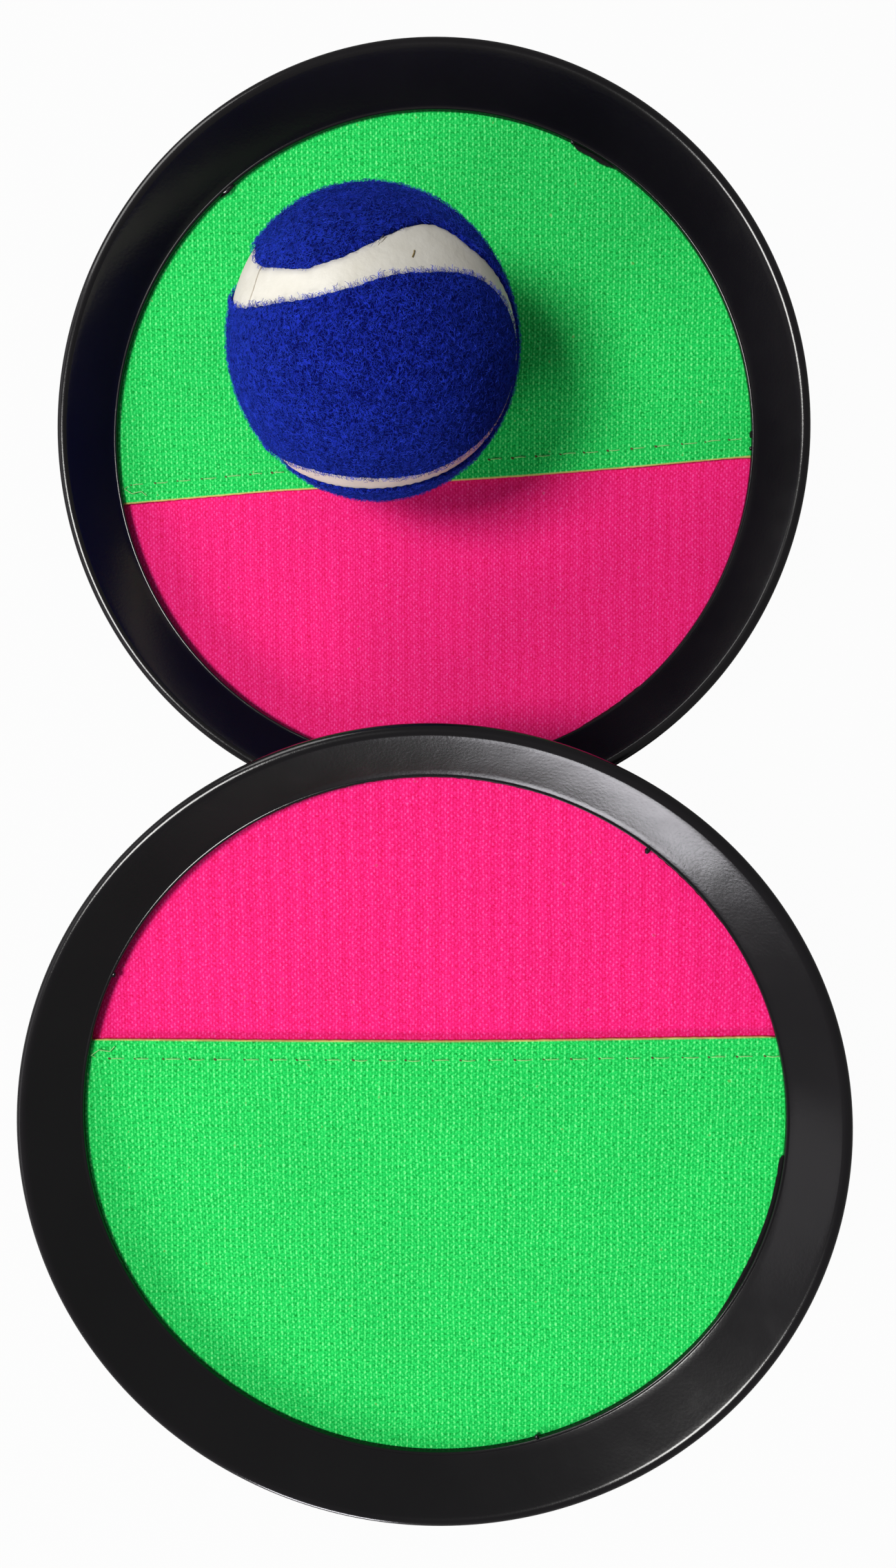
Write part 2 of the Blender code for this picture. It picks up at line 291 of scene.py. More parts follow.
def cut_strap_slots(shape):
    """The two slots are cut with boxes, and the boxes are thrown away."""
    mesh = bpy.data.meshes.new("rim_blank")
    shape.to_mesh(mesh)
    shape.free()
    blank = bpy.data.objects.new("rim_blank", mesh)
    scene.collection.objects.link(blank)
    boxes = []
    length = STRAP_END + SEAT_GAP - STRAP_LEVEL_REACH
    for side in (-1, 1):
        box = bmesh.new()
        bmesh.ops.create_cube(box, size=1.0)
        size = (length, STRAP_WIDTH + SLOT_PLAY, STRAP_THICKNESS + SLOT_PLAY)
        bmesh.ops.scale(box, vec=size, verts=box.verts)
        middle = (side * (STRAP_LEVEL_REACH + length / 2), 0.0, STRAP_ANCHOR_HEIGHT)
        bmesh.ops.translate(box, vec=middle, verts=box.verts)
        box_mesh = bpy.data.meshes.new("slot_box")
        box.to_mesh(box_mesh)
        box.free()
        cutter = bpy.data.objects.new("slot_box", box_mesh)
        scene.collection.objects.link(cutter)
        cut = blank.modifiers.new("slot", "BOOLEAN")
        cut.operation = "DIFFERENCE"
        cut.solver = "EXACT"
        cut.object = cutter
        boxes.append(cutter)
    graph = bpy.context.evaluated_depsgraph_get()
    finished = bpy.data.meshes.new_from_object(blank.evaluated_get(graph))
    for used in [blank, *boxes]:
        bpy.data.objects.remove(used, do_unlink=True)
    result = bmesh.new()
    result.from_mesh(finished)
    bpy.data.meshes.remove(finished)
    return result


def add_nub(shape, angle, radius, size):
    """A pip of plastic where the mould was filled, a little rough."""
    made = bmesh.ops.create_icosphere(shape, subdivisions=2, radius=1.0)["verts"]
    for vertex in made:
        vertex.co *= 1.0 + 0.25 * noise.noise(vertex.co * 1.7 + Vector((angle, 0.0, 0.0)))
    bmesh.ops.scale(shape, vec=size, verts=made)
    turn = Matrix.Rotation(radians(angle), 3, "Z")
    bmesh.ops.rotate(shape, cent=(0, 0, 0), matrix=turn, verts=made)
    bmesh.ops.translate(shape, vec=turn @ Vector((radius, 0.0, NUB_HEIGHT)), verts=made)


def add_flash(shape, start, end, reach):
    """A thin sliver of flash that stands in from the lip between two angles, tapering to its end."""
    steps = max(8, int(abs(end - start) * 2))
    made = bmesh.ops.create_grid(shape, x_segments=steps, y_segments=1, size=1.0)["verts"]
    for vertex in made:
        share = (vertex.co.x + 1) / 2
        inner = vertex.co.y < 0
        angle = radians(start + (end - start) * share)
        ragged = 0.00016 * noise.noise(Vector((angle * 60, start, 3.0)))
        taper = max(0.08, min(1.0, share * steps * 0.7, (1 - share) * 3.0))
        radius = LIP_RADIUS + FLASH_ROOT - inner * (reach + ragged) * taper
        vertex.co = (radius * cos(angle), radius * sin(angle), FLASH_HEIGHT)
    faces = list(dict.fromkeys(face for vertex in made for face in vertex.link_faces))
    bmesh.ops.solidify(shape, geom=faces, thickness=FLASH_THICKNESS)


plastic, tree, shader = new_finish("black_plastic", (0.006, 0.006, 0.007), 0.25)
where = add_node(tree, "ShaderNodeTexCoord").outputs["Object"]
haze = add_noise(tree, where, 38.0, 3.0).outputs["Fac"]
smears = add_noise(tree, where, 110.0, 4.0, 0.6).outputs["Fac"]
smear_spots = remap(tree, smears, (0.42, 0.80), (0.0, 0.03), "SMOOTHSTEP")
dull = remap(tree, haze, (0.0, 1.0), (0.15, 0.21))
tree.links.new(work_out(tree, "ADD", dull, smear_spots), shader.inputs["Roughness"])
tint = mix_colours(tree, haze, (0.0030, 0.0027, 0.0034), (0.0068, 0.0056, 0.0072))
tree.links.new(tint, shader.inputs["Base Color"])
grain = add_noise(tree, where, 1500.0, 2.0).outputs["Fac"]
ripple = add_noise(tree, where, 90.0, 1.0).outputs["Fac"]
add_relief(tree, shader, grain, 0.06, 0.0002)
add_relief(tree, shader, ripple, 0.10, 0.0006)

rim_marks = {
    "upper": {
        "nubs": [(1.8, 0.0789, (0.0005, 0.0009, 0.0005)), (-0.6, 0.0788, (0.0004, 0.0005, 0.0004)),
                 (64.2, 0.0789, (0.0005, 0.0006, 0.0004)), (128.6, 0.0789, (0.0006, 0.0016, 0.0003))],
        "flash": [(64.2, 54.5, 0.0013), (131.0, 126.5, 0.0008), (-48.0, -66.0, 0.0006)],
    },
    "lower": {
        "nubs": [(53.1, 0.0786, (0.0008, 0.0006, 0.0006)), (-72.3, 0.0787, (0.0007, 0.0005, 0.0005)),
                 (153.8, 0.0789, (0.0005, 0.0007, 0.0004))],
        "flash": [(-4.3, -40.0, 0.0012), (118.0, 54.0, 0.0005), (52.0, 30.0, 0.0005)],
    },
}
for which, lie in paddle_lie.items():
    rim_shape = cut_strap_slots(turn_rim())
    for angle, radius, size in rim_marks[which]["nubs"]:
        add_nub(rim_shape, angle, radius, size)
    for start, end, reach in rim_marks[which]["flash"]:
        add_flash(rim_shape, start, end, reach)
    bmesh.ops.recalc_face_normals(rim_shape, faces=rim_shape.faces)
    rim = place_piece(which + "_rim", rim_shape, plastic, lie)
    rim.data.shade_smooth()
    rim.data.set_sharp_from_angle(angle=radians(38))
    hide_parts(which + "_ring")

# The face of each paddle is two pieces of nylon hook cloth, stretched flat in the rim's groove.
# The green one laps over the pink one with its cut edge left raw, and is sewn down along the
# lap. The knit shows as fine ribs up and down the paddle, with a loop of yarn at each step.
GREEN_TOP = 0.0117
CLOTH_THICKNESS = 0.0008
CLOTH_RADIUS = 0.083
CLOTH_LAP = 0.009
CLOTH_CELLS = 150
YARN_COLUMN = 0.00069
YARN_ROW = 0.00140
FREE_RADIUS = 0.078
SAG = 0.0005
BEND_REACH = 0.02
FRAY = 0.00012
seams = {
    "upper": {
        "offset": 0.0081, "turn": radians(3.6),
        "bend": [(-78, 0.2), (-40, 0.7), (-5, 0.1), (22, -0.1), (50, 0.1), (78, 0.5)],
    },
    "lower": {
        "offset": 0.0197, "turn": radians(180.4),
        "bend": [(-76, -0.7), (-39, -0.1), (0, 0.2), (38, -0.1), (76, -0.45)],
    },
}
STITCH_INSET = 0.0045
STITCH_PITCH = 0.0060


def seam_bend(which, along):
    """How far the cut edge wanders from its straight line, in metres."""
    places = [place / 1000 for place, _ in seams[which]["bend"]]
    wander = [off / 1000 for _, off in seams[which]["bend"]]
    return float(np.interp(along, places, wander))


def cloth_sag(x, y):
    """The face isn't dead flat: it dips and rises by a few tenths, and not at all in the groove."""
    spread = hypot(x, y) / FREE_RADIUS
    if spread >= 1.0:
        return 0.0
    swell = noise.noise(Vector((x * 28.0, y * 28.0, 0.3)))
    return SAG * swell * (1.0 - spread * spread)


def make_cloth_panel(which, top, is_green):
    seam = seams[which]
    shape = bmesh.new()
    bmesh.ops.create_grid(shape, x_segments=CLOTH_CELLS, y_segments=CLOTH_CELLS, size=1.0)
    for vertex in shape.verts:
        x, y = vertex.co.x, vertex.co.y
        vertex.co.x = CLOTH_RADIUS * x * sqrt(1.0 - y * y / 2.0)
        vertex.co.y = CLOTH_RADIUS * y * sqrt(1.0 - x * x / 2.0)
    cut_height = -seam["offset"] if is_green else CLOTH_LAP - seam["offset"]
    bmesh.ops.bisect_plane(
        shape, geom=shape.verts[:] + shape.edges[:] + shape.faces[:], dist=MERGE_DISTANCE,
        plane_co=(0.0, cut_height, 0.0), plane_no=(0.0, 1.0, 0.0),
        clear_inner=is_green, clear_outer=not is_green,
    )
    for vertex in shape.verts:
        near_cut = max(0.0, 1.0 - abs(vertex.co.y - cut_height) / BEND_REACH)
        inside = max(0.0, 1.0 - hypot(vertex.co.x, vertex.co.y) / CLOTH_RADIUS)
        ragged = FRAY * noise.noise(Vector((vertex.co.x * 900.0, 0.7, 2.0))) * (near_cut > 0.97)
        vertex.co.y += (seam_bend(which, vertex.co.x) + ragged) * near_cut * min(1.0, inside * 12.0)
    weave = shape.loops.layers.uv.new("weave")
    sewing = shape.loops.layers.uv.new("sewing")
    turn = Matrix.Rotation(seam["turn"], 4, "Z")
    for face in shape.faces:
        for loop in face.loops:
            place = loop.vert.co
            flat = turn @ place
            loop[weave].uv = (flat.x, flat.y)
            row = place.y - (STITCH_INSET - seam["offset"]) - seam_bend(which, place.x)
            loop[sewing].uv = (place.x, row)
    bmesh.ops.transform(shape, matrix=turn, verts=shape.verts)
    for vertex in shape.verts:
        vertex.co.z = top + cloth_sag(vertex.co.x, vertex.co.y)
    return shape


def hook_cloth(name, colour, deep, pale, rib_share, band_share):
    """Ribbed hook cloth: loops of yarn in columns, each column half a loop out of step with the next, with
    painted shade in the dark pits between them, fainter lines at every sixth column and painted highlights
    on the pale hook tips."""
    finish, tree, shader = new_finish(name, colour, 0.75)
    weave_uv = add_node(tree, "ShaderNodeUVMap", {"uv_map": "weave"}).outputs["UV"]
    jogged = weave_uv
    for scale, pull in ((90.0, (0.0012, 0.0020, 0.0)), (900.0, (0.00042, 0.00075, 0.0))):
        jogged = add_node(tree, "ShaderNodeVectorMath", {"operation": "MULTIPLY_ADD"}, {
            0: add_noise(tree, weave_uv, scale, 1.0).outputs["Color"], 1: pull, 2: jogged,
        }).outputs["Vector"]
    split = add_node(tree, "ShaderNodeSeparateXYZ", inputs={"Vector": jogged})

    def wave(axis, period):
        phase = work_out(tree, "MULTIPLY", split.outputs[axis], 2 * pi / period)
        return work_out(tree, "COSINE", phase)

    ribs = wave("X", 2 * YARN_COLUMN)
    stagger = work_out(tree, "MULTIPLY", ribs, wave("Y", YARN_ROW))
    bands = wave("X", 6 * YARN_COLUMN)
    height = work_out(tree, "MULTIPLY_ADD", wave("X", YARN_COLUMN), 0.13, 0.5)
    for part, weight in ((stagger, 0.22), (ribs, rib_share), (bands, band_share)):
        height = work_out(tree, "MULTIPLY_ADD", part, weight, height)
    for scale, weight in ((2500.0, 1.7), (700.0, 0.8)):
        mottle = add_noise(tree, weave_uv, scale, 2.0, 0.8).outputs["Fac"]
        uneven = work_out(tree, "SUBTRACT", mottle, 0.5)
        height = work_out(tree, "MULTIPLY_ADD", uneven, weight, height)
    # The knit's height sets the colour: darker in the low pits as painted shade, paler on the high hook
    # tips as painted highlight.
    base = mix_colours(tree, remap(tree, height, (-0.08, 0.68), curve="SMOOTHSTEP"), deep, colour)
    pit_shade_and_tip_highlight = mix_colours(tree, remap(tree, height, (0.58, 1.10), curve="SMOOTHSTEP"), base, pale)
    dust = add_noise(tree, weave_uv, 700.0, 0.0).outputs["Fac"]
    dusty = mix_colours(tree, remap(tree, dust, (0.83, 0.86), (0.0, 0.3)), pit_shade_and_tip_highlight, (0.30, 0.10, 0.03))
    patches = add_noise(tree, weave_uv, 45.0, 3.0).outputs["Fac"]
    shift = remap(tree, patches, (0.3, 0.7), (0.965, 1.035))
    toned = add_node(tree, "ShaderNodeHueSaturation", inputs={"Color": dusty, "Value": shift})
    tree.links.new(toned.outputs["Color"], shader.inputs["Base Color"])
    add_relief(tree, shader, height, 0.22, 0.0002)
    shader.inputs["Specular IOR Level"].default_value = 0.08
    return finish, tree, shader, toned.outputs["Color"]


# In both cloths, deep is the colour of the painted shade in the pits and pale that of the painted
# highlight on the hook tips.
green_finish, tree, shader, green_colour = hook_cloth(
    "green_hook_cloth", colour=(0.018, 0.73, 0.130), deep=(0.002, 0.28, 0.026), pale=(0.22, 0.97, 0.31),
    rib_share=0.12, band_share=0.0,
)
sewing_uv = add_node(tree, "ShaderNodeUVMap", {"uv_map": "sewing"}).outputs["UV"]
sewn = add_node(tree, "ShaderNodeSeparateXYZ", inputs={"Vector": sewing_uv})
raw_edge = remap(tree, sewn.outputs["Y"], (0.00012 - STITCH_INSET, 0.0004 - STITCH_INSET), (0.9, 0.0))
edged = mix_colours(tree, raw_edge, green_colour, (0.74, 0.52, 0.18))
tree.links.new(edged, shader.inputs["Base Color"])
pink_finish, _, _, _ = hook_cloth(
    "pink_hook_cloth", colour=(0.97, 0.018, 0.225), deep=(0.74, 0.003, 0.080), pale=(1.0, 0.10, 0.40),
    rib_share=0.03, band_share=0.05,
)


for which, lie in paddle_lie.items():
    for colour_name, finish, top, is_green in (
        ("green", green_finish, GREEN_TOP, True),
        ("pink", pink_finish, GREEN_TOP - CLOTH_THICKNESS - SEAT_GAP, False),
    ):
        shape = make_cloth_panel(which, top, is_green)
        bmesh.ops.recalc_face_normals(shape, faces=shape.faces)
        if sum(face.normal.z for face in shape.faces) < 0:
            bmesh.ops.reverse_faces(shape, faces=shape.faces)
        panel = place_piece(which + "_" + colour_name + "_cloth", shape, finish, lie)
        panel.data.shade_smooth()
        wall = panel.modifiers.new("cloth", "SOLIDIFY")
        wall.thickness = CLOTH_THICKNESS
        wall.offset = -1.0
        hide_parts(which + "_" + colour_name + "_panel")

# The lap is sewn with one row of pale green thread. It comes up at each needle hole, lies on the
# cloth for half a stitch and dives again, and a loose end is left at one side of each seam.
THREAD_RADIUS = 0.00012
SEAM_RADIUS = 0.0782
STITCH_SEED = {"upper": 7, "lower": 11}
thread_finish, tree, shader = new_finish("sewing_thread", (0.42, 0.66, 0.25), 0.6)
where = add_node(tree, "ShaderNodeTexCoord").outputs["Object"]
twist = add_noise(tree, where, 3000.0, 2.0).outputs["Fac"]
lit = mix_colours(tree, twist, (0.12, 0.50, 0.10), (0.46, 0.84, 0.36))
tree.links.new(lit, shader.inputs["Base Color"])
add_relief(tree, shader, twist, 0.5, 0.0001)
# The needle holes are flat dark lenses laid on the cloth: painted shade standing for the holes, mottled
# brownish.
hole_finish, tree, shader = new_finish("needle_hole", (0.035, 0.030, 0.012), 0.9)
where = add_node(tree, "ShaderNodeTexCoord").outputs["Object"]
hole_shade_mottle = add_noise(tree, where, 900.0, 2.0).outputs["Fac"]
painted_hole_shade = mix_colours(tree, hole_shade_mottle, (0.020, 0.020, 0.008), (0.16, 0.12, 0.03))
tree.links.new(painted_hole_shade, shader.inputs["Base Color"])


def curve_mesh(name, lines, radius, roundness=1):
    """A mesh of round threads that follow these lines of points."""
    curve = bpy.data.curves.new(name, "CURVE")
    curve.dimensions = "3D"
    curve.bevel_depth = radius
    curve.bevel_resolution = roundness
    curve.use_fill_caps = True
    for line in lines:
        spline = curve.splines.new("POLY")
        spline.points.add(len(line) - 1)
        for point, place in zip(spline.points, line):
            point.co = (*place, 1.0)
    holder = bpy.data.objects.new(name, curve)
    scene.collection.objects.link(holder)
    graph = bpy.context.evaluated_depsgraph_get()
    mesh = bpy.data.meshes.new_from_object(holder.evaluated_get(graph))
    bpy.data.objects.remove(holder, do_unlink=True)
    bpy.data.curves.remove(curve)
    mesh.name = name
    return mesh


for which, lie in paddle_lie.items():
    draw = random.Random(STITCH_SEED[which])
    seam = seams[which]
    turn = Matrix.Rotation(seam["turn"], 4, "Z")
    row = STITCH_INSET - seam["offset"]
    reach = sqrt(SEAM_RADIUS ** 2 - row ** 2)
    stitches = int(2 * reach / STITCH_PITCH)
    lines = []
    holes = bmesh.new()
    way = 1 if which == "upper" else -1

    def on_cloth(along, across, lift):
        flat = turn @ Vector((along, row + seam_bend(which, along) + across, 0.0))
        return (flat.x, flat.y, GREEN_TOP + cloth_sag(flat.x, flat.y) + lift)

    for index in range(stitches):
        start = -reach + (index + 0.35) * 2 * reach / stitches + draw.uniform(-0.0003, 0.0003)
        shown = draw.uniform(0.0026, 0.0036)
        side = draw.uniform(-0.00015, 0.00015)
        lines.append([
            on_cloth(start - way * 0.0001, 0.0, -0.0004),
            on_cloth(start + way * shown * 0.10, side * 0.3, 0.00012),
            on_cloth(start + way * shown * 0.35, side, 0.00020),
            on_cloth(start + way * shown * 0.65, side, 0.00016),
            on_cloth(start + way * shown * 0.92, side * 0.3, 0.00005),
            on_cloth(start + way * shown, 0.0, -0.0004),
        ])
        # A flat dark lens at each needle hole, as the hole's painted shade.
        made = bmesh.ops.create_icosphere(holes, subdivisions=1, radius=1.0)["verts"]
        deep = draw.uniform(0.7, 1.25)
        size = (0.00042 * deep, 0.00027 * deep, 0.00009)
        bmesh.ops.scale(holes, vec=size, verts=made)
        slant = Matrix.Rotation(seam["turn"] - 0.5, 3, "Z")
        bmesh.ops.rotate(holes, cent=(0, 0, 0), matrix=slant, verts=made)
        bmesh.ops.translate(holes, vec=on_cloth(start - way * 0.00035, 0.0, 0.0), verts=made)
    end = -way * reach * 0.985
    lines.append([
        on_cloth(end, 0.0, -0.0003), on_cloth(end - way * 0.0012, -0.0009, 0.0004),
        on_cloth(end + way * 0.0006, -0.0022, 0.0005), on_cloth(end + way * 0.0030, -0.0018, 0.0004),
        on_cloth(end + way * 0.0042, -0.0030, 0.0003),
    ])
    sewn_line = curve_mesh(which + "_stitches", lines, THREAD_RADIUS)
    thread = place_piece(which + "_stitches", sewn_line, thread_finish, lie)
    thread.data.shade_smooth()
    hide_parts(which + "_seam_thread")
    place_piece(which + "_needle_holes", holes, hole_finish, lie)

# The hand strap is a band of black woven webbing that runs from slot to slot behind the cloth,
# slack enough for a hand. The paddle's weight presses its middle flat on the floor.
STRAP_FLAT_REACH = 0.026
WEAVE_STRETCH = 1.25
webbing, tree, shader = new_finish("black_webbing", (0.015, 0.015, 0.016), 0.8)
strap_uv = add_node(tree, "ShaderNodeUVMap", {"uv_map": "strap"}).outputs["UV"]
picks = add_node(tree, "ShaderNodeMapping", inputs={"Vector": strap_uv, "Scale": (620.0, 520.0, 1.0)})
yarns = add_node(tree, "ShaderNodeTexVoronoi", {"voronoi_dimensions": "2D"}, {
    "Vector": picks.outputs["Vector"], "Scale": 1.0, "Randomness": 0.12,
})
mound = remap(tree, yarns.outputs["Distance"], (0.1, 0.65), (1.0, 0.0))
# Each yarn is lighter on its crown and darker towards the gaps between yarns: painted shade in the weave.
yarn_shade_paint = mix_colours(tree, mound, (0.004, 0.004, 0.004), (0.028, 0.028, 0.030))
tree.links.new(yarn_shade_paint, shader.inputs["Base Color"])
add_relief(tree, shader, mound, 0.8, 0.0004)
shader.inputs["Sheen Weight"].default_value = 0.25


def ease(value):
    value = min(max(value, 0.0), 1.0)
    return value * value * (3.0 - 2.0 * value)


for which, lie in paddle_lie.items():
    flat_height = STRAP_THICKNESS / 2 / cos(TILT) - BASE_RADIUS * sin(TILT) / cos(TILT)
    shape = bmesh.new()
    bmesh.ops.create_grid(shape, x_segments=140, y_segments=14, size=1.0)
    strap_layer = shape.loops.layers.uv.new("strap")
    for face in shape.faces:
        for loop in face.loops:
            place = loop.vert.co
            loop[strap_layer].uv = (place.x * STRAP_END * WEAVE_STRETCH, place.y * STRAP_WIDTH / 2)
    for vertex in shape.verts:
        along = vertex.co.x * STRAP_END
        across = vertex.co.y * STRAP_WIDTH / 2
        fall = ease((STRAP_LEVEL_REACH - abs(along)) / (STRAP_LEVEL_REACH - STRAP_FLAT_REACH))
        drop = STRAP_ANCHOR_HEIGHT + fall * (flat_height - STRAP_ANCHOR_HEIGHT)
        twist = TILT * fall
        vertex.co = (along, across * cos(twist), drop - across * sin(twist))
    bmesh.ops.recalc_face_normals(shape, faces=shape.faces)
    strap = place_piece(which + "_strap", shape, webbing, lie)
    strap.data.shade_smooth()
    wall = strap.modifiers.new("webbing", "SOLIDIFY")
    wall.thickness = STRAP_THICKNESS - 0.0001
    wall.offset = 0.0
    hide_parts(which + "_hand_strap")

# The ball is a white rubber core that two dog-bone pieces of blue felt are glued to. The bare
# rubber between them shows as a wavy white band, wide over the top and narrow below.
BALL_RADIUS = 0.0315
FELT_THICKNESS = 0.0011
CORE_RADIUS = BALL_RADIUS - FELT_THICKNESS - SEAT_GAP
BAND_WAVE = 0.25
BAND_RISE = 0.00075
BAND_SHOULDER = 0.0006
DIRECTIONS_AT_ONCE = 4000
lift = GREEN_TOP + SEAT_GAP + BALL_RADIUS
ball_place = paddle_lie["upper"] @ Vector((-0.0112, 0.0139, lift))
ball_turn = Matrix.Rotation(radians(-170.6), 4, "Z") @ Matrix.Rotation(radians(81.2), 4, "Y")
ball_turn = ball_turn @ Matrix.Rotation(radians(-10.0), 4, "X")
ball_lie = Matrix.Translation(ball_place) @ ball_turn
# Along the band: how far its two edges stand from the middle line, in millimetres
band_edges = [
    (0.0, 3.6, -3.6), (0.6, 3.0, -3.9), (0.95, 1.5, -4.9), (1.15, 2.5, -4.9), (1.4, 3.1, -3.3),
    (1.6, 2.7, -2.6), (1.8, 2.9, -2.9), (2.0, 2.1, -3.2), (2.2, 1.6, -3.4), (2.4, 2.1, -3.9),
    (2.6, 3.4, -3.4), (2.75, 4.2, -3.5), (2.9, 5.1, -6.6), (3.0, 5.5, -5.6), (3.14, 5.0, -3.1),
    (3.28, 5.2, -1.6), (3.43, 4.1, -2.3), (3.57, 2.4, -5.2), (3.72, 1.3, -7.1), (3.74, 1.2, -7.4),
    (3.757, 2.2, -7.8), (3.78, 1.1, -8.3), (3.86, 1.2, -10.2), (4.0, 1.4, -11.2), (4.2, 1.8, -10.6),
    (4.35, 2.5, -7.0), (4.7, 3.6, -3.6), (2 * pi, 3.6, -3.6),
]
BAND_POINTS = 900
turns = np.linspace(0.0, 2 * pi, BAND_POINTS, endpoint=False)
major = 1.0 - BAND_WAVE
band_line = np.stack([
    major * np.cos(turns) + BAND_WAVE * np.cos(3 * turns),
    major * np.sin(turns) - BAND_WAVE * np.sin(3 * turns),
    2 * sqrt(major * BAND_WAVE) * np.sin(2 * turns),
], axis=1)
band_line /= np.linalg.norm(band_line, axis=1)[:, None]
ahead = np.roll(band_line, -1, axis=0) - np.roll(band_line, 1, axis=0)
band_side = np.cross(band_line, ahead)
band_side /= np.linalg.norm(band_side, axis=1)[:, None]
edge_places = np.array(band_edges)
plus_edge = np.interp(turns, edge_places[:, 0], edge_places[:, 1]) / 1000
minus_edge = np.interp(turns, edge_places[:, 0], edge_places[:, 2]) / 1000


def band_depth(points):
    """For unit directions from the ball's centre: how far inside the band each lies, in metres,
    negative on the felt, and which side of the band's middle line it is on."""
    depth = np.empty(len(points))
    side = np.empty(len(points))
    for first in range(0, len(points), DIRECTIONS_AT_ONCE):
        batch = slice(first, first + DIRECTIONS_AT_ONCE)
        some = points[batch]
        nearest = (some @ band_line.T).argmax(axis=1)
        off = np.arcsin(np.clip((some * band_side[nearest]).sum(axis=1), -1, 1)) * BALL_RADIUS
        depth[batch] = np.minimum(plus_edge[nearest] - off, off - minus_edge[nearest])
        side[batch] = off - (plus_edge[nearest] + minus_edge[nearest]) / 2
    return depth, side


rubber, tree, shader = new_finish("white_rubber", (0.66, 0.64, 0.58), 0.5)
where = add_node(tree, "ShaderNodeTexCoord").outputs["Object"]
grime = add_noise(tree, where, 160.0, 5.0, 0.65).outputs["Fac"]
chalk = mix_colours(tree, grime, (0.61, 0.58, 0.50), (0.81, 0.79, 0.73))
tree.links.new(chalk, shader.inputs["Base Color"])
pits = add_noise(tree, where, 900.0, 3.0).outputs["Fac"]
add_relief(tree, shader, pits, 0.25, 0.0003)

shape = bmesh.new()
bmesh.ops.create_icosphere(shape, subdivisions=6, radius=1.0)
directions = np.array([vertex.co for vertex in shape.verts])
depth, _ = band_depth(directions)
for vertex, inside in zip(shape.verts, depth):
    raised = BAND_RISE * ease((inside + BAND_SHOULDER) / (2 * BAND_SHOULDER))
    vertex.co *= CORE_RADIUS + raised + 0.00006 * noise.noise(vertex.co * 60.0)
core = place_piece("ball_rubber", shape, rubber, ball_lie)
core.data.shade_smooth()
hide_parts("ball_core")

# A raised line crosses the band where its ends meet, and the rubber has a brown fleck and a few
# scratches. They are pressed into its skin.
SKIN_RADIUS = CORE_RADIUS + BAND_RISE + 0.00003
SCRATCH_DEPTH = 0.00002
fleck_finish, tree, shader = new_finish("band_fleck", (0.16, 0.10, 0.02), 0.7)
where = add_node(tree, "ShaderNodeTexCoord").outputs["Object"]
stain = add_noise(tree, where, 2000.0, 2.0).outputs["Fac"]
stained = mix_colours(tree, stain, (0.06, 0.035, 0.010), (0.34, 0.24, 0.07))
tree.links.new(stained, shader.inputs["Base Color"])
join_finish, tree, shader = new_finish("band_join", (0.42, 0.38, 0.31), 0.6)
where = add_node(tree, "ShaderNodeTexCoord").outputs["Object"]
dirt = add_noise(tree, where, 1200.0, 2.0).outputs["Fac"]
dirty = mix_colours(tree, dirt, (0.30, 0.26, 0.20), (0.62, 0.58, 0.50))
tree.links.new(dirty, shader.inputs["Base Color"])


def on_ball(points, radius, steps=8):
    """A line over the ball through these directions."""
    line = []
    for first, second in zip(points, points[1:]):
        for step in range(steps):
            line.append(Vector(first).lerp(Vector(second), step / steps).normalized() * radius)
    return line + [Vector(points[-1]).normalized() * radius]


join = [(-0.655, -0.335, 0.680), (-0.601, -0.230, 0.765), (-0.539, -0.165, 0.826), (-0.512, -0.138, 0.848)]
join_mesh = curve_mesh("band_join", [on_ball(join, SKIN_RADIUS)], 0.00013)
join_line = place_piece("band_join", join_mesh, join_finish, ball_lie)
join_line.data.shade_smooth()
fleck = [(-0.9811, 0.0226, -0.1922), (-0.9825, 0.045, -0.181), (-0.9843, 0.0665, -0.1633)]
fleck_mesh = curve_mesh("band_fleck", [on_ball(fleck, SKIN_RADIUS, 3)], 0.00016)
place_piece("band_fleck", fleck_mesh, fleck_finish, ball_lie)
scratches = [
    [(-0.9976, -0.0678, 0.0149), (-0.993, -0.1124, -0.036)],
    [(-0.9965, -0.0640, -0.0060), (-0.9935, -0.1000, -0.0500)],
    [(-0.9985, -0.0500, 0.0200), (-0.9975, -0.0680, 0.0000)],
]
scratch_lines = [on_ball(scratch, SKIN_RADIUS - SCRATCH_DEPTH, 3) for scratch in scratches]
scratch_mesh = curve_mesh("band_scratches", scratch_lines, 0.00006)
place_piece("band_scratches", scratch_mesh, join_finish, ball_lie)

# Each felt piece is a napped shell with a ragged cut edge. Short curled fibres stand out of it
# all over, so the outline is fuzzy and the light side looks brushed.
felt, tree, shader = new_finish("blue_felt", (0.006, 0.016, 0.20), 0.95)
where = add_node(tree, "ShaderNodeTexCoord").outputs["Object"]


def curls(scale, seed):
    """Thin curly lines, as of fibres that lie tangled in the nap."""
    swirl = add_node(tree, "ShaderNodeTexNoise", {"noise_dimensions": "4D"}, {
        "Vector": where, "W": seed, "Scale": scale, "Detail": 1.0, "Distortion": 1.6,
    })
    away = work_out(tree, "ABSOLUTE", work_out(tree, "SUBTRACT", swirl.outputs["Fac"], 0.5))
    return remap(tree, away, (0.005, 0.055), (1.0, 0.0), "SMOOTHSTEP")


tangle = work_out(tree, "MAXIMUM", curls(650.0, 0.0), curls(820.0, 7.0))
tangle = work_out(tree, "MAXIMUM", tangle, curls(480.0, 13.0))
clumps = add_noise(tree, where, 300.0, 3.0).outputs["Fac"]
pile = work_out(tree, "MULTIPLY", tangle, remap(tree, clumps, (0.3, 0.7), (0.45, 1.0)))
